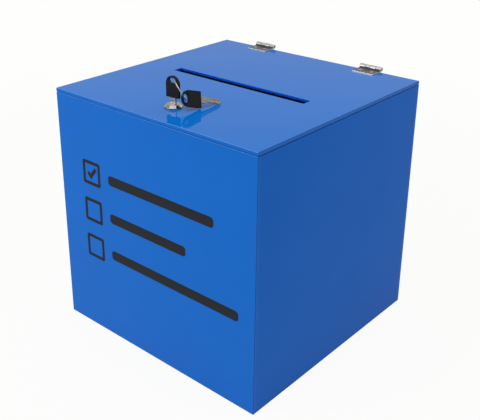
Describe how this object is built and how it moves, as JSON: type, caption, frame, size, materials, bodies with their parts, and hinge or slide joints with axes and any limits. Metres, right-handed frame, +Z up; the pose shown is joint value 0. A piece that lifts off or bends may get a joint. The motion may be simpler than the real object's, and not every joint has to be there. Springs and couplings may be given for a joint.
{
  "type": "ballot box",
  "caption": "Cube ballot box of glossy acrylic sheet with a slotted hinged lid, a cam lock in the lid and keys on a split ring.",
  "frame": {"origin": "middle of the bottom face that the box stands on", "axes": "+Z up, +X to the right as seen from the front, +Y to the hinges at the back"},
  "size_m": [0.3, 0.3058, 0.3348],
  "materials": {
    "blue_acrylic": "glossy",
    "dark_film": "satin",
    "hinge_steel": "polished",
    "screw_steel": "zinc plated",
    "lock_chrome": "polished",
    "wafer_brass": "stamped",
    "key_nickel": "nickel plated",
    "key_plastic": "satin moulded"
  },
  "bodies": {
    "box": {"base_panel": "blue_acrylic", "front_panel": "blue_acrylic", "back_panel": "blue_acrylic", "left_panel": "blue_acrylic", "right_panel": "blue_acrylic", "catch_block": "blue_acrylic", "front_mark": "dark_film", "left_hinge_box_leaf": "hinge_steel", "right_hinge_box_leaf": "hinge_steel", "left_hinge_pin": "hinge_steel", "right_hinge_pin": "hinge_steel", "box_hinge_screws": "screw_steel", "box_hinge_nuts": "screw_steel"},
    "lid": {"lid_panel": "blue_acrylic", "left_hinge_lid_leaf": "hinge_steel", "right_hinge_lid_leaf": "hinge_steel", "lid_hinge_screws": "screw_steel", "lid_hinge_nuts": "screw_steel", "lock_body": "lock_chrome", "lock_washer": "screw_steel", "lock_nut": "lock_chrome"},
    "lock_core": {"lock_plug": "lock_chrome", "lock_wafers": "wafer_brass", "cam": "screw_steel", "cam_washer": "screw_steel", "cam_screw": "screw_steel"},
    "lock_key": {"lock_key_blade": "key_nickel", "lock_key_head": "key_plastic"},
    "key_ring": {"key_ring": "key_nickel"},
    "loose_key": {"loose_key_blade": "key_nickel", "loose_key_head": "key_plastic"}
  },
  "joints": [
    {"name": "lid_hinge", "type": "hinge", "parent": "box", "child": "lid", "pos_m": [0, 0.1528, 0.3028], "axis": [-1, 0, 0], "range_deg": [0, 240]},
    {"name": "lock_turn", "type": "hinge", "parent": "lid", "child": "lock_core", "pos_m": [0, -0.109, 0.3038], "axis": [0, 0, -1], "range_deg": [0, 90]},
    {"name": "lock_key_slide", "type": "slide", "parent": "lock_core", "child": "lock_key", "axis": [0, 0, 1], "range_m": [0, 0.022]},
    {"name": "ring_swing", "type": "hinge", "parent": "lock_key", "child": "key_ring", "pos_m": [0.0021, -0.10889, 0.3296], "axis": [0.0523, -0.9986, 0], "range_deg": [0, 150]},
    {"name": "loose_key_swing", "type": "hinge", "parent": "key_ring", "child": "loose_key", "pos_m": [0.01909, -0.10978, 0.31184], "axis": [0.882, -0.1274, 0.4537], "range_deg": [0, 60]}
  ]
}
